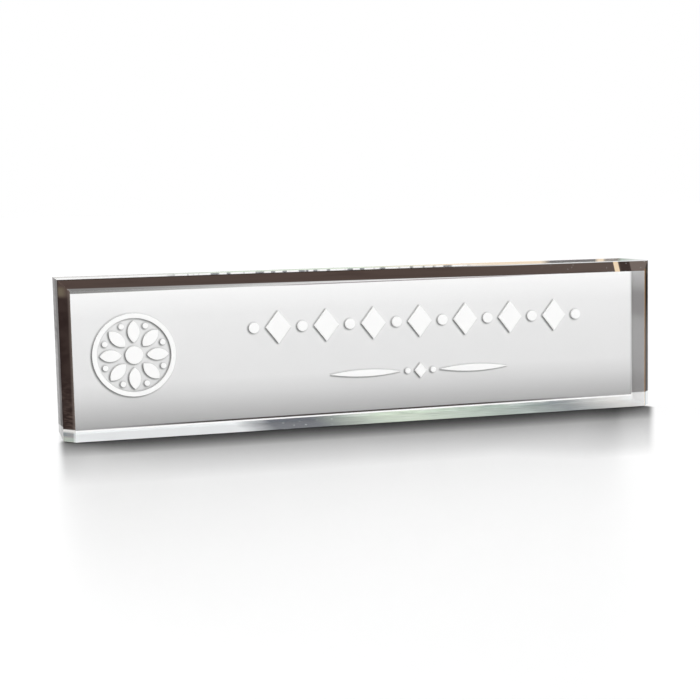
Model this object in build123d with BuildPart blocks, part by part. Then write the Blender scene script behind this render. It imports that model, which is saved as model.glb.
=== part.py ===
"""Desk name plate: a thick clear bar that stands on its long edge.

The front is bevelled along the top and both ends. White inlays sit in pockets cut into the back
face, and a printed film covers them, so that everything is seen through the thickness of the bar.
Millimetres, +Z up, front towards -Y, origin under the middle of the plate.
"""

import os

from build123d import *

# Clear bar
plate_width = 203.2
plate_height = 50.8
plate_depth = 25.4
bevel_inset = 3.5
bevel_depth = 4.2
arris = 0.4

# Printed film on the back face, set in from the polished edges
film_thickness = 0.25
film_side_gap = 0.1
film_top_gap = 0.4
film_base_gap = 1.1
film_corner_radius = 0.8

# White inlays and their pockets
inlay_depth = 1.2
inlay_clearance = 0.05
artwork_drop = 0.5

# Rosette at the left
emblem_margin = 11.0
ring_radius = 13.6
ring_width = 1.5
core_radius = 2.9
petal_count = 8
petal_core_gap = 1.2
petal_ring_gap = 0.9
petal_half_width = 1.9
emblem_bead_radius = 0.9
emblem_bead_gap = 1.0

# Upper band of lozenges and beads
band_left_gap = 22.0
band_right_margin = 18.0
lozenge_width = 8.6
lozenge_height = 11.0
band_bead_radius = 1.75
band_bead_gap = 2.25

# Lower line of two swelled rules about a lozenge
line_drop = 9.0
line_lozenge_width = 4.2
line_lozenge_height = 5.2
line_bead_radius = 0.95
line_gap = 1.55
rule_length = 25.0
rule_half_width = 1.15

# Depth of the plate
front_y = -(plate_depth + film_thickness) / 2
back_y = front_y + plate_depth
back_plane = Plane.XZ.offset(-back_y)

# Places of the rosette's rings of petals and beads
artwork_z = plate_height / 2 - artwork_drop
emblem_x = -plate_width / 2 + emblem_margin + ring_radius
petal_inner_radius = core_radius + petal_core_gap
petal_outer_radius = ring_radius - ring_width - petal_ring_gap
emblem_bead_circle = ring_radius - ring_width - emblem_bead_gap - emblem_bead_radius

# The upper band fills the room between the rosette and the right margin with whole lozenges
band_start = emblem_x + ring_radius + band_left_gap
band_end = plate_width / 2 - band_right_margin
band_x = (band_start + band_end) / 2
lozenge_pitch = lozenge_width + 2 * band_bead_gap + 2 * band_bead_radius
lozenge_count = max(1, int((band_end - band_start - 2 * band_bead_radius) // lozenge_pitch))

# The two lines stand as one block about the height of the rosette's centre
block_height = lozenge_height + line_drop + line_lozenge_height
line_z = artwork_z - block_height / 2 + line_lozenge_height / 2
band_z = artwork_z + block_height / 2 - lozenge_height / 2
line_bead_offset = line_lozenge_width / 2 + line_gap + line_bead_radius
rule_offset = line_bead_offset + line_bead_radius + line_gap + rule_length / 2


def ring_outline(grow):
    """Flat ring round the rosette."""
    with BuildSketch(back_plane) as outline:
        with Locations((emblem_x, artwork_z)):
            Circle(ring_radius + grow)
            Circle(ring_radius - ring_width - grow, mode=Mode.SUBTRACT)
    return outline.sketch


def petal_outline(grow):
    """Petals of two arcs each, pointed at both ends, spaced evenly about the core."""
    with BuildSketch() as petal:
        with BuildLine():
            SagittaArc((petal_inner_radius, 0), (petal_outer_radius, 0), petal_half_width)
            SagittaArc((petal_outer_radius, 0), (petal_inner_radius, 0), petal_half_width)
        make_face()
        if grow:
            offset(amount=grow, mode=Mode.REPLACE)
    with BuildSketch(back_plane) as outline:
        with Locations((emblem_x, artwork_z)):
            with PolarLocations(0, petal_count):
                add(petal.sketch)
    return outline.sketch


def core_outline(grow):
    """Round button in the middle of the rosette."""
    with BuildSketch(back_plane) as outline:
        with Locations((emblem_x, artwork_z)):
            Circle(core_radius + grow)
    return outline.sketch


def emblem_bead_outline(grow):
    """Small beads between the tips of the petals."""
    with BuildSketch(back_plane) as outline:
        with Locations((emblem_x, artwork_z)):
            with PolarLocations(emblem_bead_circle, petal_count, start_angle=180 / petal_count):
                Circle(emblem_bead_radius + grow)
    return outline.sketch


def lozenge_outline(places, width, height, grow):
    """One lozenge at each place, grown square to its sides."""
    side = (width**2 + height**2) ** 0.5
    half_width = width / 2 + grow * side / height
    half_height = height / 2 + grow * side / width
    with BuildSketch() as lozenge:
        with BuildLine():
            Polyline(
                (half_width, 0),
                (0, half_height),
                (-half_width, 0),
                (0, -half_height),
                close=True,
            )
        make_face()
    with BuildSketch(back_plane) as outline:
        with Locations(*places):
            add(lozenge.sketch)
    return outline.sketch


def bead_outline(places, radius, grow):
    """One round bead at each place."""
    with BuildSketch(back_plane) as outline:
        with Locations(*places):
            Circle(radius + grow)
    return outline.sketch


def band_places(count):
    """Evenly spaced centres along the upper band."""
    first = band_x - lozenge_pitch * (count - 1) / 2
    return [(first + lozenge_pitch * index, band_z) for index in range(count)]


def band_lozenge_outline(grow):
    """Lozenges of the upper band."""
    return lozenge_outline(band_places(lozenge_count), lozenge_width, lozenge_height, grow)


def band_bead_outline(grow):
    """Beads between the lozenges of the upper band, and one past each end."""
    return bead_outline(band_places(lozenge_count + 1), band_bead_radius, grow)


def rule_outline(grow):
    """Two swelled rules, thick in the middle and pointed at the ends."""
    with BuildSketch() as rule:
        with BuildLine():
            SagittaArc((-rule_length / 2, 0), (rule_length / 2, 0), rule_half_width)
            SagittaArc((rule_length / 2, 0), (-rule_length / 2, 0), rule_half_width)
        make_face()
        if grow:
            offset(amount=grow, mode=Mode.REPLACE)
    with BuildSketch(back_plane) as outline:
        with Locations((band_x - rule_offset, line_z), (band_x + rule_offset, line_z)):
            add(rule.sketch)
    return outline.sketch


def line_lozenge_outline(grow):
    """Lozenge in the middle of the lower line."""
    return lozenge_outline([(band_x, line_z)], line_lozenge_width, line_lozenge_height, grow)


def line_bead_outline(grow):
    """Bead on each side of the lower line's lozenge."""
    places = [(band_x - line_bead_offset, line_z), (band_x + line_bead_offset, line_z)]
    return bead_outline(places, line_bead_radius, grow)


inlay_outlines = {
    "emblem_ring": ring_outline,
    "emblem_petals": petal_outline,
    "emblem_core": core_outline,
    "emblem_beads": emblem_bead_outline,
    "band_lozenges": band_lozenge_outline,
    "band_beads": band_bead_outline,
    "line_rules": rule_outline,
    "line_lozenge": line_lozenge_outline,
    "line_beads": line_bead_outline,
}

os.makedirs("parts", exist_ok=True)

# Clear bar with mitred bevels, polished edges and a pocket for each inlay
with BuildPart() as clear_block:
    with BuildSketch(back_plane):
        with Locations((0, plate_height / 2)):
            Rectangle(plate_width, plate_height)
    extrude(amount=plate_depth)
    front_face = clear_block.faces().sort_by(Axis.Y)[0]
    bevel_edges = front_face.edges().sort_by(Axis.Z)[1:]
    chamfer(bevel_edges, length=bevel_inset, length2=bevel_depth, reference=front_face)
    front_base_edge = clear_block.faces().sort_by(Axis.Y)[0].edges().sort_by(Axis.Z)[0]
    back_edges = clear_block.faces().sort_by(Axis.Y)[-1].edges()
    chamfer([front_base_edge, *back_edges], length=arris)
    for outline in inlay_outlines.values():
        extrude(outline(inlay_clearance), amount=inlay_depth, mode=Mode.SUBTRACT)
clear_block.part.label = "clear_block"
export_step(clear_block.part, "parts/clear_block.step")

# Inlays, flush with the back face
for name, outline in inlay_outlines.items():
    with BuildPart() as inlay:
        extrude(outline(0), amount=inlay_depth)
    inlay.part.label = name
    export_step(inlay.part, f"parts/{name}.step")

# Printed film over the back face and the inlays
film_width = plate_width - 2 * (arris + film_side_gap)
film_base = arris + film_base_gap
film_height = plate_height - arris - film_top_gap - film_base
with BuildPart() as backing_film:
    with BuildSketch(back_plane):
        with Locations((0, film_base + film_height / 2)):
            RectangleRounded(film_width, film_height, film_corner_radius)
    extrude(amount=-film_thickness)
backing_film.part.label = "backing_film"
export_step(backing_film.part, "parts/backing_film.step")
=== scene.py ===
"""Looks of the desk name plate: a clear bevelled bar, white inlays and a printed film behind them.

Metres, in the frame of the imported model: +X along the plate, +Y from the front to the back, +Z up.
The patterns of the finishes are worked out in millimetres.
"""

import math

import bpy
import numpy as np
from bpy.props import FloatProperty, FloatVectorProperty, IntProperty, PointerProperty
from mathutils import Matrix, Vector


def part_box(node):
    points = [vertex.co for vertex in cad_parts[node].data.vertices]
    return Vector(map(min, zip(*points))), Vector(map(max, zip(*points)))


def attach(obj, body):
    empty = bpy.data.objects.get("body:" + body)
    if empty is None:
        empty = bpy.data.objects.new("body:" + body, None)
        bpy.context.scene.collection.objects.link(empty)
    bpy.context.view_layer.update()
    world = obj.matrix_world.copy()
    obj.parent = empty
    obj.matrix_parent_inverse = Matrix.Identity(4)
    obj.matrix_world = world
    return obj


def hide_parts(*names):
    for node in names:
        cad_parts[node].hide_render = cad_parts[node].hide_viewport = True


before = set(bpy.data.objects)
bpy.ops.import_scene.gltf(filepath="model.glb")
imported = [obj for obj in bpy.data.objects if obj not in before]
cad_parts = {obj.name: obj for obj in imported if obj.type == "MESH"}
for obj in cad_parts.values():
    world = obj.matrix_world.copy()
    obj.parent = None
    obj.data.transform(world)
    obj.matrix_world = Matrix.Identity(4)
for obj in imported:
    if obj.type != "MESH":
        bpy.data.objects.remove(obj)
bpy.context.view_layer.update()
BAR_LOW, BAR_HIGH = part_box("clear_block")
FILM_LOW, FILM_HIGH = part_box("backing_film")
BODY = "root"
MM = 0.001
ACRYLIC_IOR = 1.49
WHITE = (1, 1, 1)
EDGE_STEPS = 4

bl_info = {
    "name": "Desk name plate",
    "version": (1, 0, 0),
    "blender": (4, 5, 0),
    "location": "View3D > Sidebar > Name plate",
    "description": "Builds the clear bar, its inlays, the printed film and the stage",
    "category": "Object",
}


def amount(name, description, default, unit="NONE"):
    """A number, with a unit where one fits."""
    return FloatProperty(name=name, description=description, default=default, unit=unit, precision=5)


def length(name, description, millimetres):
    """A size, given in millimetres and stored in metres."""
    return amount(name, description, millimetres * MM, "LENGTH")


def angle(name, description, degrees):
    """An angle, given in degrees and stored in radians."""
    return amount(name, description, math.radians(degrees), "ROTATION")


def colour(name, description, default):
    """A linear colour."""
    return FloatVectorProperty(
        name=name, description=description, default=default, subtype="COLOR", min=0, max=1
    )


def point(name, description, default):
    """A place, given in millimetres and stored in metres."""
    place = tuple(part * MM for part in default)
    return FloatVectorProperty(name=name, description=description, default=place, unit="LENGTH")


class PlateSizes(bpy.types.PropertyGroup):
    """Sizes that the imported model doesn't state by its boxes."""

    bevel_inset: length("Bevel inset", "Width that a bevel takes from the front face", 3.5)
    bevel_depth: length("Bevel depth", "Depth that a bevel takes from the wall behind it", 4.2)
    arris: length("Arris", "Polished edge round the back", 0.4)
    front_arris: length("Front arris", "Polished edge along the front base", 0.08)
    corner_radius: length("Corner radius", "Rounding of the edges between two walls", 0.03)
    # Below this height the back face takes the underside's finish of scuffs and painted reflection
    base_strip_height: length("Scuff height", "Height of the scuffed strip on the back face", 1.0)
    clear_band: length("Clear band", "Height of the pale band along the base, in the middle", 4.35)
    band_slope: amount("Band slope", "Rise of the pale band's upper edge to the right", 0.0045)
    wall_band: length("Wall band", "Height of the pale band half way along the right end", 3.75)
    wall_slope: amount("Wall slope", "Fall of that band's upper edge from the front to the back", 0.09)
    film_sink: length("Film sink", "Depth of the film's face in the clear bar", 0.04)
    film_corner: length("Film corner", "Corner radius of the film", 0.25)
    film_tilt: length("Film tilt", "Rise of the film's lower edge from the left end to the right", 0.9)
    gradient_top: length("Print top", "Height of the print's upper edge in the middle", 46.0)
    gradient_slope: amount("Print slope", "Rise of the print's upper edge to the right", 0.005)
    edge_line: length("Edge line", "Width of the dark line along the film's lower edge", 0.55)
    inlay_edge: length("Inlay edge", "Rounded edge of a white inlay", 0.22)
    inlay_shade: length("Inlay shade", "How far an inlay's shade spreads over the film", 0.8)
    petal_core_gap: length("Petal gap", "Clear gap between the core and the petals", 1.2)
    petal_half_width: length("Petal half width", "Half the width of a petal", 1.9)
    rosette_bead: length("Rosette bead", "Radius of a bead in the rosette", 0.9)
    ring_width: length("Ring width", "Width of the rosette's ring", 1.5)
    lozenge_width: length("Lozenge width", "Width of a lozenge in the upper band", 8.6)
    rule_length: length("Rule length", "Length of one swelled rule", 25.0)
    petal_count: IntProperty(name="Petals", description="Petals of the rosette", default=8, min=3)
    lozenge_count: IntProperty(name="Lozenges", description="Lozenges of the band", default=7, min=1)


class PlateFinish(bpy.types.PropertyGroup):
    """Colours of the finishes."""

    clear: colour("Clear", "Tint of the clear acrylic", (1.0, 1.0, 1.0))
    # On the bevels, brown, umber, taupe, olive and amber are painted reflection, and glint is a painted
    # highlight
    brown: colour("Brown", "Tone that the top bevel mirrors", (0.088, 0.063, 0.054))
    umber: colour("Umber", "Tone that the left bevel mirrors", (0.030, 0.0195, 0.0175))
    taupe: colour("Taupe", "Paler brown at the right end of the top bevel", (0.181, 0.147, 0.130))
    glint: colour("Glint", "Bright bar across the top bevel", (0.87, 0.69, 0.48))
    amber: colour("Amber", "Thin line along the right bevel's inner edge", (0.92, 0.52, 0.22))
    olive: colour("Olive", "Soft patch near the top of the left bevel", (0.150, 0.122, 0.088))
    # Along and under the base, pale, slate, ash, sage and moss are painted reflection, dark stretches
    # included; scuffs show only as specks and hairlines
    pale: colour("Pale", "Clear band along the base", (0.88, 0.90, 0.91))
    slate: colour("Slate", "Dark scuffed stretch of the base", (0.115, 0.125, 0.145))
    ash: colour("Ash", "Second scuffed stretch of the base", (0.235, 0.265, 0.275))
    sage: colour("Sage", "Greenish stretch of the base", (0.67, 0.77, 0.63))
    moss: colour("Moss", "Darker green beside the sage", (0.46, 0.55, 0.48))
    end_grey: colour("End grey", "Satin ends of the bar", (0.31, 0.30, 0.30))
    # The film's tones run from white at the top to grey at the base, and the margin over them is dark at
    # its left end
    film_top: colour("Film top", "Print at the top of the film", (0.956, 0.956, 0.956))
    film_upper: colour("Film upper", "Print below the top", (0.838, 0.838, 0.838))
    film_middle: colour("Film middle", "Print over the middle", (0.808, 0.808, 0.808))
    film_calm: colour("Film calm", "Print below the middle", (0.772, 0.772, 0.772))
    film_lower: colour("Film lower", "Print over the base", (0.663, 0.663, 0.663))
    film_base: colour("Film base", "Print at the base of the film", (0.38, 0.38, 0.38))
    film_margin: colour("Film margin", "Bare margin over the print, at its left end", (0.23, 0.225, 0.22))
    film_line: colour("Film line", "Thin line along the print's upper edge", (0.36, 0.32, 0.34))
    liner: colour("Liner", "Back of the film", (0.74, 0.73, 0.71))
    enamel: colour("Enamel", "White of the inlays", (0.95, 0.95, 0.945))


class StageLook(bpy.types.PropertyGroup):
    """Camera, lamps and floor."""

    lens: amount("Lens", "Focal length", 71.89, "CAMERA")
    sensor: amount("Sensor", "Width of the sensor", 36.0, "CAMERA")
    camera_place: point("Camera place", "Where the camera stands", (-131.84, -451.80, 71.56))
    camera_yaw: angle("Camera yaw", "Turn of the view to the right of the plate's depth", 15.686)
    camera_pitch: angle("Camera pitch", "Tilt of the view below the horizon", 5.856)
    camera_roll: angle("Camera roll", "Roll of the view", -1.221)
    ambient: amount("Ambient", "Strength of the sky on matt surfaces", 0.45)
    front_lamp: amount("Front lamp", "Strength of the lamp in front", 0.45)
    top_lamp: amount("Top lamp", "Strength of the lamp overhead", 0.25)
    back_lamp: amount("Back lamp", "Strength of the lamp behind", 0.20)
    lamp_spread: angle("Lamp spread", "Width of a lamp in the sky", 22)
    shade_reach: length("Shade reach", "How far the plate's soft shade spreads over the floor", 72)
    shade_stretch: length("Shade stretch", "How much further it spreads at the right end", 14)
    shade_level: amount("Shade level", "Openness of the floor at which the shade is black", 0.26)
    contact_reach: length("Contact reach", "How far the dark shade along the base spreads", 26)
    contact_level: amount("Contact level", "Openness at which the shade along the base is black", 0.075)
    shade_fade: amount("Shade fade", "Power of the shade at the left, which below 1 thins it", 0.42)
    shade_way: FloatVectorProperty(
        name="Shade way",
        description="Where the light comes from that the plate keeps off the floor",
        default=(-0.10, 0.85, 0.50),
        subtype="DIRECTION",
    )
    shade_lean: amount("Shade lean", "Lean of that light to the plate's middle, per mm from it", 0.004)
    shade_left: point("Shade left", "Left end of the shade on the floor", (-102.6, -12.0, 0))
    shade_right: point("Shade right", "Right end of the shade on the floor", (103.2, -8.6, 0))
    shade_aim: point("Shade aim", "Point that both ends of the shade run towards", (-131.8, -451.8, 0))
    shade_edge: length("Shade edge", "Softness of the shade's two ends", 1.4)
    floor_size: length("Floor size", "Half the side of the floor", 20000)
    floor_roughness: amount("Floor roughness", "Blur of the plate's image in the polished floor", 0.32)
    floor_gap: length("Floor gap", "Gap between the floor and the plate", 0.15)


def sizes():
    """The sizes kept in the scene."""
    return bpy.context.scene.plate_sizes


def finish():
    """The colours kept in the scene."""
    return bpy.context.scene.plate_finish


def stage_look():
    """The stage settings kept in the scene."""
    return bpy.context.scene.plate_stage


# Meshes


def grid_faces(rows, columns):
    """Quads of a grid whose columns run round and close, as rows of four vertex numbers."""
    row, column = np.meshgrid(np.arange(rows - 1), np.arange(columns), indexing="ij")
    after = (column + 1) % columns
    quads = (row * columns + column, (row + 1) * columns + column)
    quads += ((row + 1) * columns + after, row * columns + after)
    return np.stack(quads, -1).reshape(-1, 4)


def shell(rows):
    """Closed shell through rows of points, from front to back, with a flat cap on each end."""
    count, columns = rows.shape[:2]
    faces = grid_faces(count, columns).tolist()
    first = list(range(columns))
    last = list(range((count - 1) * columns, count * columns))[::-1]
    return rows.reshape(-1, 3), faces + [first, last]


def joined(shells):
    """Several shells as one list of points and one of faces."""
    points, faces, start = [], [], 0
    for shell_points, shell_faces in shells:
        points.append(shell_points)
        faces += [[start + corner for corner in face] for face in shell_faces]
        start += len(shell_points)
    return np.concatenate(points), faces


def place_piece(name, shape, node, materials):
    """A mesh object that stands for a CAD node and rides with it."""
    points, faces = shape
    mesh = bpy.data.meshes.new(name)
    mesh.from_pydata(points.tolist(), [], faces)
    mesh.validate()
    mesh.update()
    for material in materials:
        mesh.materials.append(material)
    piece = bpy.data.objects.new(name, mesh)
    bpy.context.scene.collection.objects.link(piece)
    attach(piece, BODY)
    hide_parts(node)
    return piece


def place_inlays(name, node, outlines, half_size):
    """White inlays over these outlines, as the piece that stands for a CAD node."""
    levels = inlay_levels(half_size)
    shape = joined([stacked(outline, levels) for outline in outlines])
    place_piece(name, shape, node, [material_of(inlay_enamel)])


def place_row(name, node, outline, count, half_size):
    """A row of like inlays, spread evenly along the box of their CAD node."""
    low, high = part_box(node)
    half_width = outline[:, 0].max()
    x = np.linspace(low.x + half_width, high.x - half_width, count)
    places = np.stack((x, np.full(count, (low.z + high.z) / 2)), -1)
    place_inlays(name, node, [place + outline for place in places], half_size)


def face_normals(mesh):
    """The three parts of every face's normal."""
    normals = np.empty(len(mesh.polygons) * 3)
    mesh.polygons.foreach_get("normal", normals)
    return normals.reshape(-1, 3).T


def rounded_rectangle(left, right, low, high, radius, steps):
    """Outline in x and z: four quarter circles, joined by the straight sides."""
    turn = np.linspace(0, math.pi / 2, steps)
    arc = np.stack((np.cos(turn), np.sin(turn)), -1) * radius
    quarter = np.array(((0, -1), (1, 0)))
    centres = ((right, high), (left, high), (left, low), (right, low))
    inward = ((-1, -1), (1, -1), (1, 1), (-1, 1))
    corners = []
    for centre, way in zip(centres, inward):
        corners.append(np.array(centre) + np.array(way) * radius + arc)
        arc = arc @ quarter.T
    return np.concatenate(corners)


def tilted_base(outline, tilt):
    """An outline whose lower half leans: its points rise by tilt from the left end to the right."""
    x, z = outline.T
    lower = z < (z.max() + z.min()) / 2
    return np.stack((x, z + np.where(lower, tilt * x / np.ptp(x), 0)), -1)


def at_depth(outline, depth):
    """An outline in x and z as points at one depth."""
    return np.stack((outline[:, 0], np.full(len(outline), depth), outline[:, 1]), -1)


def stacked(outline, levels):
    """Shell over an outline about its middle: each level is a scale of the outline and a depth."""
    middle = (outline.max(0) + outline.min(0)) / 2
    rows = [at_depth(middle + (outline - middle) * scale, depth) for scale, depth in levels]
    return shell(np.stack(rows))


def inlay_levels(half_size):
    """Scales and depths from the rounded front edge of an inlay to the pocket's mouth."""
    low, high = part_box("emblem_core")
    edge = sizes().inlay_edge
    turn = np.linspace(math.pi / 2, 0, EDGE_STEPS)
    scale = 1 - edge * (1 - np.cos(turn)) / half_size
    depth = low.y + edge * (1 - np.sin(turn))
    return [*zip(scale, depth), (1.0, high.y - sizes().film_sink)]


def lens_outline(half_length, half_width, steps):
    """Two arcs that meet in points at both ends."""
    radius = (half_length**2 + half_width**2) / (2 * half_width)
    reach = math.asin(half_length / radius)
    sweep = np.linspace(reach, -reach, steps)
    upper = np.stack((radius * np.sin(sweep), radius * np.cos(sweep) - radius + half_width), -1)
    return np.concatenate((upper, -upper[1:-1]))


def circle_outline(radius, steps):
    """Circle about the origin."""
    turn = np.arange(steps) * 2 * math.pi / steps
    return np.stack((np.cos(turn), np.sin(turn)), -1) * radius


def lozenge_outline(half_width, half_height):
    """Lozenge about the origin."""
    return np.array(((half_width, 0), (0, half_height), (-half_width, 0), (0, -half_height)))


def lozenge_reach(half_width, half_height):
    """Distance from a lozenge's middle to its sides."""
    return half_width * half_height / math.hypot(half_width, half_height)


def turned(outline, turn):
    """An outline turned about the origin."""
    cos, sin = math.cos(turn), math.sin(turn)
    return outline @ np.array(((cos, sin), (-sin, cos)))


def middle_of(node):
    """Middle of a node's box, in x and z."""
    low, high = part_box(node)
    return np.array(((low.x + high.x) / 2, (low.z + high.z) / 2))


def half_of(node):
    """Half width and half height of a node's box."""
    low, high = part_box(node)
    return (high.x - low.x) / 2, (high.z - low.z) / 2


# Shader nodes


class NodeMaker:
    """Adds nodes to one tree. An input is a plain value or another node's output."""

    def __init__(self, tree):
        self.tree = tree

    def add(self, kind, inputs=None, **settings):
        """A node with its settings and its inputs."""
        made = self.tree.nodes.new("ShaderNode" + kind)
        for name, value in settings.items():
            setattr(made, name, value)
        for name, value in (inputs or {}).items():
            self.feed(made.inputs[name], value)
        return made

    def feed(self, socket, value):
        """Join an output to a socket, or set its value."""
        if isinstance(value, bpy.types.NodeSocket):
            self.tree.links.new(value, socket)
        elif socket.type == "RGBA":
            socket.default_value = (*value, 1)
        else:
            socket.default_value = value

    def calc(self, operation, *terms):
        """One sum on values."""
        return self.add("Math", dict(enumerate(terms)), operation=operation).outputs["Value"]

    def times(self, *terms):
        """Product of values."""
        product = terms[0]
        for term in terms[1:]:
            product = self.calc("MULTIPLY", product, term)
        return product

    def minus(self, first, second):
        """Difference of two values."""
        return self.calc("SUBTRACT", first, second)

    def linear(self, value, slope, start):
        """A value times a slope, plus a start."""
        return self.calc("MULTIPLY_ADD", value, slope, start)

    def rise(self, value, start, end):
        """Mask that eases from 0 at start to 1 at end."""
        inputs = {"Value": value, "From Min": start, "From Max": end}
        return self.add("MapRange", inputs, interpolation_type="SMOOTHSTEP").outputs["Result"]

    def between(self, value, start, end, ease):
        """Mask that is 1 from start to end and eases to 0 on both sides."""
        return self.times(self.rise(value, start - ease, start), self.rise(value, end + ease, end))

    def mix(self, factor, first, second):
        """Colour between two colours."""
        inputs = {"Factor": factor, "A": first, "B": second}
        return self.add("Mix", inputs, data_type="RGBA").outputs["Result"]

    def blend(self, factor, first, second):
        """Shader between two shaders."""
        return self.add("MixShader", {"Fac": factor, 1: first, 2: second}).outputs["Shader"]

    def layered(self, shade, *layers):
        """A shade under layers, each of them a tone and the masks that let it show."""
        for tone, *masks in layers:
            shade = self.mix(self.times(*masks), shade, tone)
        return shade

    def scaled(self, vector, factors):
        """A vector with each part multiplied by its own factor."""
        return self.add("VectorMath", {0: vector, 1: factors}, operation="MULTIPLY").outputs["Vector"]

    def noise(self, vector, scale, detail=2.0):
        """Cloudy noise about one half."""
        return self.add("TexNoise", {"Vector": vector, "Scale": scale, "Detail": detail}).outputs["Fac"]

    def ramp(self, value, stops):
        """Colour that runs through stops of a value and a colour each."""
        low, high = stops[0][0], stops[-1][0]
        share = self.add("MapRange", {"Value": value, "From Min": low, "From Max": high})
        made = self.add("ValToRGB", {"Fac": share.outputs["Result"]})
        elements = made.color_ramp.elements
        for stop, _ in stops[1:-1]:
            elements.new((stop - low) / (high - low))
        for element, (_, shade) in zip(elements, stops):
            element.color = (*shade, 1)
        return made.outputs["Color"]

    def open_to_light(self, shader):
        """A shader that is clear to lamps, after a matt bounce and in a mirror beside the plate."""
        path = self.add("LightPath").outputs
        after_matt = self.calc("MINIMUM", path["Diffuse Depth"], 1.0)
        outside = self.calc("LESS_THAN", path["Transmission Depth"], 0.5)
        in_mirror = self.times(path["Is Glossy Ray"], outside)
        unseen = self.calc("MAXIMUM", path["Is Shadow Ray"], self.calc("MAXIMUM", after_matt, in_mirror))
        return self.blend(unseen, shader, self.add("BsdfTransparent").outputs["BSDF"])

    def place(self):
        """Object coordinates in millimetres."""
        return self.scaled(self.add("TexCoord").outputs["Object"], (1 / MM, 1 / MM, 1 / MM))

    def parts(self, vector):
        """The three parts of a vector."""
        return tuple(self.add("SeparateXYZ", {"Vector": vector}).outputs)

    def open_share(self, way, reach, samples):
        """Share of the light from one side that nothing within reach keeps off."""
        inputs = {"Distance": reach, "Normal": way}
        return self.add("AmbientOcclusion", inputs, samples=samples).outputs["AO"]

    def bumped(self, height, strength, distance):
        """Normal over a fine relief."""
        inputs = {"Height": height, "Strength": strength, "Distance": distance}
        return self.add("Bump", inputs).outputs["Normal"]

    def principled(self, inputs):
        """The main shader of a finish."""
        return self.add("BsdfPrincipled", inputs).outputs["BSDF"]

    def group(self, make, inputs):
        """A shared node group, made on first use."""
        tree = bpy.data.node_groups.get(make.__name__) or make()
        return self.add("Group", inputs, node_tree=tree).outputs

    def marks(self, place, smudge, speck, size):
        """Masks of the handling marks, with the scales of smudges and specks and a speck's size."""
        inputs = {"Place": place, "Smudge Scale": smudge, "Speck Scale": speck, "Speck Size": size}
        return self.group(handling_marks, inputs)

    def grained(self, place, shade, grain, depth):
        """Mottled colour of ink or enamel, and the height of its grain."""
        return self.group(print_grain, {"Place": place, "Colour": shade, "Grain": grain, "Depth": depth})


def new_group(name, inputs, outputs):
    """An empty node group: its tree, its node maker, the sockets it takes in and those it gives out."""
    tree = bpy.data.node_groups.new(name, "ShaderNodeTree")
    for socket, kind in inputs.items():
        tree.interface.new_socket(name=socket, in_out="INPUT", socket_type="NodeSocket" + kind)
    for socket, kind in outputs.items():
        tree.interface.new_socket(name=socket, in_out="OUTPUT", socket_type="NodeSocket" + kind)
    taken = tree.nodes.new("NodeGroupInput").outputs
    given = tree.nodes.new("NodeGroupOutput").inputs
    return tree, NodeMaker(tree), taken, given


def handling_marks():
    """Smudges, hairline scratches and specks that a handled surface picks up."""
    inputs = {"Place": "Vector", "Smudge Scale": "Float", "Speck Scale": "Float", "Speck Size": "Float"}
    outputs = {"Smudge": "Float", "Scratch": "Float", "Speck": "Float"}
    tree, make, taken, given = new_group("handling_marks", inputs, outputs)
    cloud = make.noise(taken["Place"], taken["Smudge Scale"], 3.0)
    make.feed(given["Smudge"], make.rise(cloud, 0.50, 0.72))

    slant = {"Vector": taken["Place"], "Rotation": (0.3, 0.5, 0.4)}
    slanted = make.add("Mapping", slant).outputs["Vector"]
    drawn = make.noise(make.scaled(slanted, (0.05, 0.6, 0.6)), 1.0, 1.0)
    line = make.rise(make.calc("ABSOLUTE", make.minus(drawn, 0.5)), 0.004, 0.001)
    broken = make.rise(make.noise(taken["Place"], 0.12, 1.0), 0.55, 0.62)
    make.feed(given["Scratch"], make.times(line, broken))

    cells = make.add("TexVoronoi", {"Vector": taken["Place"], "Scale": taken["Speck Scale"]}).outputs
    dot = make.rise(make.calc("DIVIDE", cells["Distance"], taken["Speck Size"]), 1.0, 0.6)
    kept = make.add("SeparateColor", {"Color": cells["Color"]}).outputs["Red"]
    make.feed(given["Speck"], make.times(dot, make.rise(kept, 0.80, 0.82)))
    return tree


def print_grain():
    """Fine mottle of ink or enamel: the colour, a little lighter and darker, and a height."""
    inputs = {"Place": "Vector", "Colour": "Color", "Grain": "Float", "Depth": "Float"}
    outputs = {"Colour": "Color", "Height": "Float"}
    tree, make, taken, given = new_group("print_grain", inputs, outputs)
    fine = make.noise(taken["Place"], taken["Grain"], 2.0)
    broad = make.noise(taken["Place"], 0.15, 2.0)
    both = make.minus(make.calc("ADD", fine, broad), 1.0)
    level = make.linear(both, taken["Depth"], 1.0)
    shade = make.add("VectorMath", {0: taken["Colour"], "Scale": level}, operation="SCALE")
    make.feed(given["Colour"], shade.outputs["Vector"])
    make.feed(given["Height"], fine)
    return tree


def empty_tree(owner):
    """Node maker for the emptied tree of a material or a world."""
    owner.use_nodes = True
    owner.node_tree.nodes.clear()
    return NodeMaker(owner.node_tree)


def material_of(shader):
    """The material with the shader of a function, made on first use and named like the function."""
    material = bpy.data.materials.get(shader.__name__)
    if material is None:
        material = bpy.data.materials.new(shader.__name__)
        make = empty_tree(material)
        make.add("OutputMaterial", {"Surface": shader(make)})
    return material


def margin_tone(make, x):
    """Tone of the margin over the gradient, dark at its left end."""
    return make.mix(make.rise(x, -105, 40), finish().film_margin, finish().film_top)


def polished_acrylic(make):
    """Clear polished acrylic, with faint smudges, hairlines and dust. Lamps shine through it."""
    marks = make.marks(make.place(), 0.05, 0.25, 0.03)
    rough = make.calc("MAXIMUM", make.times(marks["Smudge"], 0.02), make.times(marks["Scratch"], 0.12))
    tint = make.layered(finish().clear, (finish().liner, marks["Speck"], 0.3))
    inputs = {"Base Color": tint, "Roughness": rough, "IOR": ACRYLIC_IOR, "Transmission Weight": 1.0}
    return make.open_to_light(make.principled(inputs))


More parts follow.
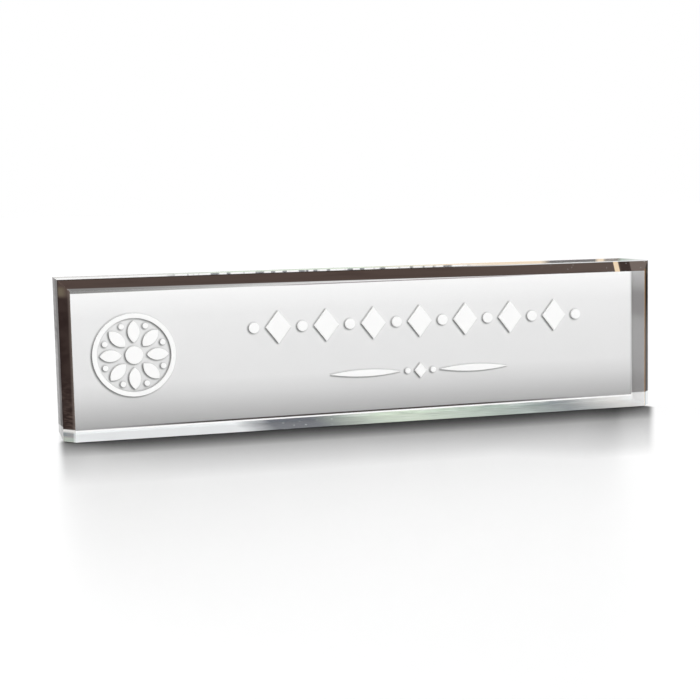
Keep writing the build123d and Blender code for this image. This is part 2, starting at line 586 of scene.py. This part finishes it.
def bevel_painted_reflection_and_dust(make):
    """Polished bevels as tinted mirrors, with a painted reflection of a dark room: brown at the top,
    umber at the ends, pale at the base.
    """
    tone, size = finish(), sizes()
    vector = make.place()
    x, y, z = make.parts(vector)
    depth = make.minus(y, BAR_LOW.y / MM)
    from_end = make.minus(BAR_HIGH.x / MM, make.calc("ABSOLUTE", x))
    from_top = make.minus(BAR_HIGH.z / MM, z)
    on_top = make.rise(make.minus(from_end, from_top), -0.1, 0.1)
    at_right = make.rise(x, 0, 10)
    at_left = make.minus(1.0, at_right)
    marks = make.marks(vector, 0.12, 1.1, 0.17)

    # Lip along the top bevel's inner edge, narrower to the right, like the film's margin
    lip = make.times(make.minus(58.0, x), 0.0057)
    in_lip = make.rise(make.minus(depth, lip), 0.12, -0.12)

    # Top bevel's painted reflection: brown, paler to the right, with a dark bar, a painted highlight bar
    # and a taupe end
    cloud = make.rise(make.noise(make.scaled(vector, (0.06, 0.5, 0.5)), 1.0, 3.0), 0.45, 0.75)
    leaning = make.minus(x, make.times(depth, 0.28))
    top = make.layered(
        tone.brown,
        (tone.taupe, make.rise(x, 10, 90), 0.35),
        (tone.umber, cloud, 0.25),
        (tone.umber, make.between(leaning, 89.6, 92.9, 0.8), 0.7),
        (tone.glint, make.between(leaning, 87.1, 88.6, 0.35)),
        (tone.taupe, make.rise(leaning, 93.0, 93.3)),
        (margin_tone(make, x), in_lip),
    )

    # End bevels' painted reflection: mottled umber, with fine grain low down, an olive patch high up and
    # grey at the right
    grain = make.noise(make.scaled(vector, (0.3, 0.3, 2.2)), 1.0, 3.0)
    grainy = make.times(make.rise(grain, 0.42, 0.65), make.rise(z, 26, 8))
    mottle = make.noise(make.scaled(vector, (0.1, 0.1, 0.2)), 1.0, 3.0)
    mottled = make.times(make.rise(mottle, 0.38, 0.62), 0.25)
    end = make.layered(
        tone.umber,
        (tone.brown, make.calc("MAXIMUM", grainy, mottled)),
        (tone.brown, make.rise(z, 44.4, 46.4), at_left),
        (tone.olive, make.between(z, 46.6, 47.6, 1.7), make.rise(depth, 0.6, 3.0)),
        (tone.end_grey, at_right, make.rise(z, 40, 22)),
        (tone.taupe, make.rise(depth, 1.2, 0.0), 0.8),
        (tone.amber, make.rise(depth, 1.2, 0.7), at_right),
    )

    # Outer rim: painted reflection, dark but for a painted highlight on the right half of the top; and
    # specks of dust
    lit = make.times(make.rise(x, 20, 55), on_top)
    rim = make.times(make.rise(depth, 3.8, 4.0), make.linear(lit, 0.4, 0.6))
    shade = make.layered(
        make.mix(on_top, end, top),
        (make.mix(lit, tone.umber, tone.pale), rim),
        (tone.pale, marks["Speck"], make.rise(x, 40, 100)),
    )

    # Painted reflection in the band along the base: pale at the right, and at the left a bright line over
    # grey streaks and sage
    below = make.minus(make.linear(x, size.band_slope, size.clear_band / MM), z)
    streaks = make.noise(make.scaled(vector, (0.3, 0.3, 1.6)), 1.0, 2.0)
    left_band = make.layered(
        tone.ash,
        (tone.end_grey, make.rise(streaks, 0.35, 0.65)),
        (tone.sage, make.rise(z, 1.9, 0.9), 0.35),
        (tone.pale, make.rise(depth, 1.1, 0.1), 0.6),
        (tone.liner, make.rise(below, 1.4, 0.4)),
    )
    right_band = make.layered(
        tone.pale,
        (tone.ash, make.rise(depth, 2.0, 1.0), 0.5),
        (tone.glint, make.rise(depth, 0.7, 0.4)),
    )
    in_band = make.rise(below, -0.15, 0.15)
    shade = make.mix(in_band, shade, make.mix(at_right, left_band, right_band))

    inputs = {
        "Base Color": shade,
        "Metallic": 1.0,
        "Roughness": make.linear(marks["Smudge"], 0.10, 0.06),
        "Specular Tint": make.mix(in_band, (0.29, 0.29, 0.29), tone.pale),
    }
    return make.open_to_light(make.principled(inputs))


def satin_end(make):
    """Satin grey ends with painted light and shade: paler at the top of the right end and along the base,
    darker at the left end's top and bevel.
    """
    tone, size = finish(), sizes()
    vector = make.place()
    x, y, z = make.parts(vector)
    marks = make.marks(vector, 0.10, 0.35, 0.05)
    at_right = make.rise(x, 0, 10)
    at_left = make.minus(1.0, at_right)

    # Painted shade: the left wall is darker towards its top and its bevel
    left_painted_shade = make.linear(make.rise(z, 20, 45), 0.18, 0.15)
    left_painted_shade = make.calc("MAXIMUM", left_painted_shade, make.times(make.rise(y, 5, -2), 0.95))

    # Painted light and shade in broad bands up the wall, fine bands at the left, and a painted pale foot
    fine_bands = make.rise(make.noise(make.scaled(vector, (0.05, 0.05, 0.8)), 1.0, 2.0), 0.45, 0.7)
    edge = make.linear(y, -size.wall_slope, size.wall_band / MM)
    in_foot = make.rise(make.minus(edge, z), -0.2, 0.2)
    shade = make.layered(
        tone.end_grey,
        (tone.pale, make.rise(z, 38, 48), at_right, 0.35),
        (tone.pale, make.between(z, 13, 27, 6), 0.12),
        (tone.umber, make.between(z, 33, 38, 4), 0.2),
        (tone.pale, fine_bands, at_left, 0.2),
        (tone.pale, marks["Speck"], 0.4),
        (tone.umber, at_left, left_painted_shade),
        (tone.film_top, in_foot, make.linear(at_right, 0.5, 0.5)),
    )
    grained = make.grained(vector, shade, 3.0, 0.12)
    inputs = {
        "Base Color": grained["Colour"],
        "Roughness": make.linear(marks["Smudge"], 0.15, 0.32),
        "Specular IOR Level": 0.03,
        "Normal": make.bumped(grained["Height"], 0.15, 0.05 * MM),
    }
    return make.open_to_light(make.principled(inputs))


def base_scuffs_and_painted_reflection(make):
    """Underside: a painted reflection, pale at both ends, dark with scuffs, then greenish between them,
    streaked lengthways.
    """
    tone = finish()
    vector = make.place()
    x = make.parts(vector)[0]
    marks = make.marks(make.scaled(vector, (1, 0.3, 1)), 0.10, 0.8, 0.3)
    wander = make.minus(make.noise(vector, 0.12, 2.0), 0.5)
    along = make.linear(wander, 6.0, x)
    # The stops paint the reflection seen in the underside; its scuffs are the specks and hairlines
    stops = (
        (-45, tone.pale), (-33, tone.slate), (-18, tone.slate),
        (7, tone.sage), (15, tone.sage), (44, tone.moss),
        (72, tone.ash), (94, tone.liner), (104, tone.pale),
    )
    streak = make.noise(make.scaled(vector, (0.10, 0.5, 1.0)), 1.0, 3.0)
    handled = make.times(make.between(along, -5, 76, 8), 0.35)
    shade = make.layered(
        make.ramp(along, stops),
        (tone.pale, make.rise(streak, 0.5, 0.7), handled),
        (tone.slate, make.rise(streak, 0.5, 0.3), handled),
        (tone.pale, marks["Speck"], make.between(along, -30, -12, 4)),
    )
    rough = make.linear(marks["Scratch"], 0.3, 0.35)
    inputs = {"Base Color": shade, "Roughness": rough, "Specular IOR Level": 0.05}
    return make.open_to_light(make.principled(inputs))


def film_gradient(make):
    """Film from white at the top to grey at the base, with a margin over the gradient."""
    tone, size = finish(), sizes()
    vector = make.place()
    x, _, z = make.parts(vector)
    low, top = FILM_LOW.z / MM, size.gradient_top / MM
    stops = (
        (0.0, tone.film_base),
        (0.21, tone.film_lower),
        (0.32, tone.film_calm),
        (0.62, tone.film_middle),
        (0.80, tone.film_upper),
        (1.0, tone.film_top),
    )
    stops = [(low + share * (top - low), ink) for share, ink in stops]

    # Margin over the gradient's sloping upper edge, a thin line there and a dark one along the base
    beyond = make.minus(z, make.linear(x, size.gradient_slope, top))
    lean = size.film_tilt / (FILM_HIGH.x - FILM_LOW.x)
    above = make.minus(z, make.linear(x, lean, low))
    width = size.edge_line / MM
    shade = make.layered(
        make.ramp(z, stops),
        (margin_tone(make, x), make.rise(beyond, -0.1, 0.1)),
        (tone.film_line, make.between(beyond, -0.1, 0.15, 0.12), make.between(x, -15, 45, 25)),
        (tone.umber, make.rise(above, 1.3 * width, 0.8 * width), make.between(x, -45, 40, 55)),
    )
    grained = make.grained(vector, shade, 4.0, 0.012)

    # Soft shade of the inlays, which keep off the light from the right and above
    way = make.add("CombineXYZ", {"X": 0.65, "Y": -0.70, "Z": 0.30}).outputs["Vector"]
    share = make.open_share(way, size.inlay_shade, samples=16)
    shaded = make.add("MapRange", {"Value": share, "From Max": 0.88}).outputs["Result"]
    shade = make.add("VectorMath", {0: grained["Colour"], "Scale": shaded}, operation="SCALE")
    inputs = {"Base Color": shade.outputs["Vector"], "Roughness": 0.6, "Specular IOR Level": 0.1}
    return make.principled(inputs)


def film_liner(make):
    """Matt back of the film: a pale liner with a fine tooth."""
    vector = make.place()
    marks = make.marks(vector, 0.04, 0.2, 0.04)
    smudged, specked = (finish().taupe, marks["Smudge"], 0.10), (finish().brown, marks["Speck"], 0.25)
    shade = make.layered(finish().liner, smudged, specked)
    grained = make.grained(vector, shade, 2.0, 0.10)
    rough = make.linear(marks["Scratch"], -0.25, 0.62)
    normal = make.bumped(grained["Height"], 0.2, 0.05 * MM)
    return make.principled({"Base Color": grained["Colour"], "Roughness": rough, "Normal": normal})


def inlay_enamel(make):
    """Smooth white fill of the pockets."""
    grained = make.grained(make.place(), finish().enamel, 2.5, 0.02)
    inputs = {
        "Base Color": grained["Colour"],
        "Roughness": 0.4,
        "Specular IOR Level": 0.1,
        "Normal": make.bumped(grained["Height"], 0.1, 0.03 * MM),
    }
    return make.principled(inputs)


# Operators


class NAMEPLATE_OT_clear_block(bpy.types.Operator):
    """Build the clear bar with its mitred bevels and polished edges"""

    bl_idname = "nameplate.clear_block"
    bl_label = "Clear bar"

    def execute(self, context):
        """Loft rounded rectangles from front to back, inset by the bevel, the arris and the strip."""
        size = sizes()
        deep = BAR_HIGH.y - BAR_LOW.y
        depths = np.array((0, size.front_arris, size.bevel_depth, deep - size.arris, deep, deep))
        side = np.interp(
            depths,
            (0, size.bevel_depth, deep - size.arris, deep),
            (size.bevel_inset, 0, 0, size.arris),
        )
        side[-1] += size.film_sink
        base = np.array((size.front_arris, 0, 0, 0, size.arris, size.base_strip_height))
        tilt = np.array((0, 0, 0, 0, 0, size.film_tilt))
        rows = []
        for depth, inset, lift, lean in zip(depths, side, base, tilt):
            left, right = BAR_LOW.x + inset, BAR_HIGH.x - inset
            low, high = BAR_LOW.z + lift, BAR_HIGH.z - inset
            outline = rounded_rectangle(left, right, low, high, size.corner_radius, steps=5)
            rows.append(at_depth(tilted_base(outline, lean), BAR_LOW.y + depth))
        makers = (polished_acrylic, bevel_painted_reflection_and_dust, satin_end, base_scuffs_and_painted_reflection)
        materials = [material_of(make) for make in makers]
        shape = shell(np.stack(rows))
        piece = place_piece("clear_bar", shape, "clear_block", materials)
        self.finish_facets(piece.data)
        return {"FINISHED"}

    def finish_facets(self, mesh):
        """Give each face the finish of what it is: a bevel, an end wall, the base or a clear face."""
        x, y, z = face_normals(mesh)
        bevel = (y < -0.3) & (y > -0.95) & (z > -0.3)
        end = abs(x) > 0.6
        heights = np.array([face.center.z for face in mesh.polygons])
        base = (z < -0.6) | ((y > 0.9) & (heights < sizes().base_strip_height))
        kind = np.select((bevel, end, base), (1, 2, 3), 0)
        mesh.polygons.foreach_set("material_index", kind.astype(np.int32))


class NAMEPLATE_OT_backing_film(bpy.types.Operator):
    """Build the printed film on the back face"""

    bl_idname = "nameplate.backing_film"
    bl_label = "Printed film"

    def execute(self, context):
        """Loft one rounded rectangle through the film's thickness."""
        outline = rounded_rectangle(
            FILM_LOW.x, FILM_HIGH.x, FILM_LOW.z, FILM_HIGH.z, sizes().film_corner, steps=6
        )
        outline = tilted_base(outline, sizes().film_tilt)
        depths = (FILM_LOW.y - sizes().film_sink, FILM_HIGH.y)
        shape = shell(np.stack([at_depth(outline, depth) for depth in depths]))
        materials = [material_of(film_gradient), material_of(film_liner)]
        piece = place_piece("film", shape, "backing_film", materials)
        faces_back = face_normals(piece.data)[1] > 0.5
        piece.data.polygons.foreach_set("material_index", faces_back.astype(np.int32))
        return {"FINISHED"}


class NAMEPLATE_OT_rosette(bpy.types.Operator):
    """Build the white rosette at the left"""

    bl_idname = "nameplate.rosette"
    bl_label = "Rosette"

    def execute(self, context):
        """Petals, core and beads are stacked outlines, and the ring is a section carried round."""
        size = sizes()
        centre = middle_of("emblem_ring")
        turns = np.arange(size.petal_count) * 2 * math.pi / size.petal_count

        core_radius = half_of("emblem_core")[0]
        core = centre + circle_outline(core_radius, steps=48)
        place_inlays("rosette_core", "emblem_core", [core], core_radius)

        inner = core_radius + size.petal_core_gap
        outer = half_of("emblem_petals")[0]
        petal = lens_outline((outer - inner) / 2, size.petal_half_width, steps=24)
        petal = petal + np.array(((inner + outer) / 2, 0))
        petals = [centre + turned(petal, turn) for turn in turns]
        place_inlays("rosette_petals", "emblem_petals", petals, size.petal_half_width)

        half_turn = math.pi / size.petal_count
        bead_circle = (half_of("emblem_beads")[0] - size.rosette_bead) / math.cos(half_turn)
        places = [turned(np.array(((bead_circle, 0),)), turn + half_turn) for turn in turns]
        bead = circle_outline(size.rosette_bead, steps=24)
        beads = [centre + place + bead for place in places]
        place_inlays("rosette_beads", "emblem_beads", beads, size.rosette_bead)

        ring = self.ring(centre, half_of("emblem_ring")[0], size.ring_width, steps=96)
        place_piece("rosette_ring", ring, "emblem_ring", [material_of(inlay_enamel)])
        return {"FINISHED"}

    def ring(self, centre, outer, width, steps):
        """A section with rounded front corners, carried round a circle."""
        edge = sizes().inlay_edge
        low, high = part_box("emblem_ring")
        back = high.y - sizes().film_sink
        turn = np.linspace(0, math.pi / 2, EDGE_STEPS)
        rise = low.y + edge * (1 - np.sin(turn))
        inset = edge * (1 - np.cos(turn))
        inner = outer - width
        radius = np.concatenate(((outer,), outer - inset, (inner + inset)[::-1], (inner,)))
        depth = np.concatenate(((back,), rise, rise[::-1], (back,)))
        around = np.arange(steps) * 2 * math.pi / steps
        x = centre[0] + np.outer(np.cos(around), radius)
        z = centre[1] + np.outer(np.sin(around), radius)
        points = np.stack((x, np.broadcast_to(depth, x.shape), z), -1)
        faces = grid_faces(steps + 1, len(radius)) % (steps * len(radius))
        return points.reshape(-1, 3), faces.tolist()


class NAMEPLATE_OT_band(bpy.types.Operator):
    """Build the white band of lozenges and beads"""

    bl_idname = "nameplate.band"
    bl_label = "Upper band"

    def execute(self, context):
        """Stack each outline at evenly spaced places."""
        size = sizes()
        half_width, half_height = size.lozenge_width / 2, half_of("band_lozenges")[1]
        lozenge = lozenge_outline(half_width, half_height)
        reach = lozenge_reach(half_width, half_height)
        place_row("band_of_lozenges", "band_lozenges", lozenge, size.lozenge_count, reach)

        radius = half_of("band_beads")[1]
        bead = circle_outline(radius, steps=32)
        place_row("band_of_beads", "band_beads", bead, size.lozenge_count + 1, radius)
        return {"FINISHED"}


class NAMEPLATE_OT_line(bpy.types.Operator):
    """Build the white line of swelled rules"""

    bl_idname = "nameplate.line"
    bl_label = "Lower line"

    def execute(self, context):
        """Two lens-shaped rules, a lozenge and two beads."""
        half_width = half_of("line_rules")[1]
        rule = lens_outline(sizes().rule_length / 2, half_width, steps=40)
        place_row("swelled_rules", "line_rules", rule, 2, half_width)

        half_width, half_height = half_of("line_lozenge")
        lozenge = middle_of("line_lozenge") + lozenge_outline(half_width, half_height)
        place_inlays("line_middle", "line_lozenge", [lozenge], lozenge_reach(half_width, half_height))

        radius = half_of("line_beads")[1]
        bead = circle_outline(radius, steps=24)
        place_row("line_pair", "line_beads", bead, 2, radius)
        return {"FINISHED"}


class NAMEPLATE_OT_stage(bpy.types.Operator):
    """Set the floor, the sky, the lamps and the camera"""

    bl_idname = "nameplate.stage"
    bl_label = "Stage"

    def execute(self, context):
        """Put up the floor, the sky, three lamps and the camera."""
        look = stage_look()
        context.scene.view_settings.view_transform = "Standard"
        self.floor(look)
        self.sky(context.scene, look)
        self.lamp("front_lamp", look, (-0.45, 0.80, -0.42))
        self.lamp("top_lamp", look, (0.55, 0.10, -0.83))
        self.lamp("back_lamp", look, (0.30, -0.70, -0.65))
        self.camera(context.scene, look)
        return {"FINISHED"}

    def seen_directly(self, make, kinds):
        """Mask of the rays of these kinds that come from the camera with no matt surface between."""
        path = make.add("LightPath").outputs
        seen = 0.0
        for kind in kinds:
            seen = make.calc("MAXIMUM", seen, path[f"Is {kind} Ray"])
        direct = make.calc("LESS_THAN", path["Diffuse Depth"], 0.5)
        return make.times(seen, direct)

    def openness(self, make, way, reach, level):
        """Share of the light from one side that the plate leaves to the floor, from 0 at a level to 1."""
        inputs = {"Value": make.open_share(way, reach, samples=32), "From Min": level}
        return make.add("MapRange", inputs).outputs["Result"]

    def beside(self, make, place, start, aim):
        """Distance of a floor point from the line between two points, positive to the right of it."""
        along = (Vector(aim) - Vector(start)).normalized()
        offset = make.add("VectorMath", {0: place, 1: Vector(start) / MM}, operation="SUBTRACT")
        square = {0: offset.outputs["Vector"], 1: (-along.y, along.x, 0)}
        return make.add("VectorMath", square, operation="DOT_PRODUCT").outputs["Value"]

    def fade(self, make, x, from_left, from_right, power):
        """Power of the shade: more to the right, and at both ends, where the plate covers less."""
        spans = ((x, -40, 60, 0.17), (from_left, 10, 0, 0.33), (from_right, -24, -8, 0.28))
        for place, start, end, extra in spans:
            power = make.linear(make.rise(place, start, end), extra, power)
        return power

    def shade(self, make, look):
        """Colour of the floor: white but for the plate's soft shade, which ends at the plate's ends."""
        place = make.place()
        x, y, _ = make.parts(place)
        lean = make.linear(x, -look.shade_lean, look.shade_way[0])
        way = make.add("CombineXYZ", {"X": lean, "Y": look.shade_way[1], "Z": look.shade_way[2]})
        way = make.add("VectorMath", {0: way.outputs["Vector"]}, operation="NORMALIZE").outputs["Vector"]
        from_left = self.beside(make, place, look.shade_left, look.shade_aim)
        from_right = self.beside(make, place, look.shade_right, look.shade_aim)
        near_right = make.rise(from_right, -45, -15)
        reach = make.linear(near_right, look.shade_stretch, look.shade_reach)
        soft = self.openness(make, way, reach, look.shade_level)
        soft = make.calc("POWER", soft, self.fade(make, x, from_left, from_right, look.shade_fade))
        tight = self.openness(make, way, look.contact_reach, look.contact_level)
        edge = look.shade_edge / MM
        within = make.times(make.rise(from_left, -edge, edge), make.rise(from_right, edge, -edge))

        # No shade behind two lines through the plate's front corners, which slant by two in one
        front, wide = BAR_LOW.y / MM, BAR_HIGH.x / MM
        left_start = front + sizes().bevel_depth / MM + 2 * wide
        right_start = front - 2 * sizes().bevel_inset / MM + 2 * wide
        past_left = make.linear(x, -2.0, make.minus(y, left_start))
        past_right = make.linear(x, 2.0, make.minus(y, right_start))
        in_front = make.rise(make.calc("MAXIMUM", past_left, past_right), 5, -1)
        return make.mix(make.times(within, in_front), WHITE, make.times(soft, tight))

    def white_floor(self, make):
        """White to the camera but for the plate's soft shade, white in glass, and plain matt to lamps."""
        look = stage_look()
        inputs = {"Color": self.shade(make, look), "Roughness": look.floor_roughness}
        lit = make.add("BsdfAnisotropic", inputs, distribution="MULTI_GGX").outputs["BSDF"]
        mirrored = make.add("Emission", {"Color": WHITE}).outputs["Emission"]
        matt = make.add("BsdfDiffuse", {"Color": (0.85, 0.85, 0.85)}).outputs["BSDF"]
        in_glass = self.seen_directly(make, ("Glossy", "Transmission"))
        unseen = make.blend(in_glass, matt, mirrored)
        return make.blend(make.add("LightPath").outputs["Is Camera Ray"], unseen, lit)

    def floor(self, look):
        """A wide square just under the plate."""
        half, level = look.floor_size, -look.floor_gap
        corners = ((-half, -half, level), (half, -half, level), (half, half, level), (-half, half, level))
        mesh = bpy.data.meshes.new("floor")
        mesh.from_pydata(corners, [], [(0, 1, 2, 3)])
        mesh.materials.append(material_of(self.white_floor))
        floor = bpy.data.objects.new("floor", mesh)
        bpy.context.scene.collection.objects.link(floor)

    def sky(self, scene, look):
        """White where it is seen or mirrored, and at the ambient strength on matt surfaces.

        Low in the sky behind the plate, mirrors show the far end of a room, with warm and dark things.
        """
        tone = finish()
        world = bpy.data.worlds.new("studio")
        make = empty_tree(world)
        seen = self.seen_directly(make, ("Camera", "Glossy", "Transmission"))
        strength = make.add("MapRange", {"Value": seen, "To Min": look.ambient, "To Max": 1.0})
        x, y, z = make.parts(make.add("TexCoord").outputs["Generated"])
        turn = make.calc("DEGREES", make.calc("ARCTAN2", x, y))
        stops = (
            (7, tone.liner), (11, tone.sage), (16, tone.sage), (20, tone.glint),
            (23.5, tone.glint), (23.9, tone.umber), (25.7, tone.umber),
            (25.8, tone.glint), (26.0, tone.glint), (26.1, tone.taupe),
            (26.6, tone.olive), (26.7, tone.moss), (27.7, WHITE),
        )
        room = make.ramp(turn, stops)
        slope = make.calc("DIVIDE", z, y)
        row = make.add("CombineXYZ", {"X": turn}).outputs["Vector"]
        things = make.rise(make.noise(row, 2.2), 0.50, 0.56)
        upper = make.layered(WHITE, (tone.slate, things, make.between(turn, 9, 20, 1)))
        room = make.layered(room, (upper, make.rise(slope, 0.0454, 0.0460), make.rise(turn, 22, 20)))
        low_down = make.between(slope, 0.040, 0.051, 0.003)
        in_mirror = make.add("LightPath").outputs["Is Glossy Ray"]
        shade = make.layered(WHITE, (room, in_mirror, low_down))
        inputs = {"Color": shade, "Strength": strength.outputs["Result"]}
        background = make.add("Background", inputs).outputs["Background"]
        make.add("OutputWorld", {"Surface": background})
        scene.world = world

    def lamp(self, name, look, way):
        """A soft lamp far away that shines along way. Strength 1 lights facing white to white."""
        data = bpy.data.lights.new(name, "SUN")
        data.energy = getattr(look, name) * math.pi
        data.angle = look.lamp_spread
        lamp = bpy.data.objects.new(name, data)
        lamp.rotation_euler = Vector(way).to_track_quat("-Z", "Y").to_euler()
        bpy.context.scene.collection.objects.link(lamp)

    def camera(self, scene, look):
        """Turn the view to the right, tilt it down and roll it."""
        data = bpy.data.cameras.new("camera")
        data.lens = look.lens
        data.sensor_width = look.sensor
        data.clip_start = 0.01
        camera = bpy.data.objects.new("camera", data)
        turn = Matrix.Rotation(-look.camera_yaw, 4, "Z")
        tilt = Matrix.Rotation(math.pi / 2 - look.camera_pitch, 4, "X")
        roll = Matrix.Rotation(look.camera_roll, 4, "Z")
        camera.matrix_world = Matrix.Translation(look.camera_place) @ turn @ tilt @ roll
        scene.collection.objects.link(camera)
        scene.camera = camera


OPERATORS = (
    NAMEPLATE_OT_clear_block,
    NAMEPLATE_OT_backing_film,
    NAMEPLATE_OT_rosette,
    NAMEPLATE_OT_band,
    NAMEPLATE_OT_line,
    NAMEPLATE_OT_stage,
)


class NAMEPLATE_PT_panel(bpy.types.Panel):
    """Lists the steps that build the plate"""

    bl_idname = "NAMEPLATE_PT_panel"
    bl_label = "Desk name plate"
    bl_space_type = "VIEW_3D"
    bl_region_type = "UI"
    bl_category = "Name plate"

    def draw(self, context):
        """One button for each step."""
        for operator in OPERATORS:
            self.layout.operator(operator.bl_idname)


GROUPS = {"plate_sizes": PlateSizes, "plate_finish": PlateFinish, "plate_stage": StageLook}


def register():
    """Register the classes and keep the settings in the scene."""
    for kind in (*GROUPS.values(), *OPERATORS, NAMEPLATE_PT_panel):
        bpy.utils.register_class(kind)
    for name, group in GROUPS.items():
        setattr(bpy.types.Scene, name, PointerProperty(type=group))


def unregister():
    """Take the settings and the classes out again."""
    for name in GROUPS:
        delattr(bpy.types.Scene, name)
    for kind in (NAMEPLATE_PT_panel, *OPERATORS[::-1], *GROUPS.values()):
        bpy.utils.unregister_class(kind)


def main():
    """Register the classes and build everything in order."""
    register()
    for operator in OPERATORS:
        family, name = operator.bl_idname.split(".")
        getattr(getattr(bpy.ops, family), name)()


if __name__ == "__main__":
    main()
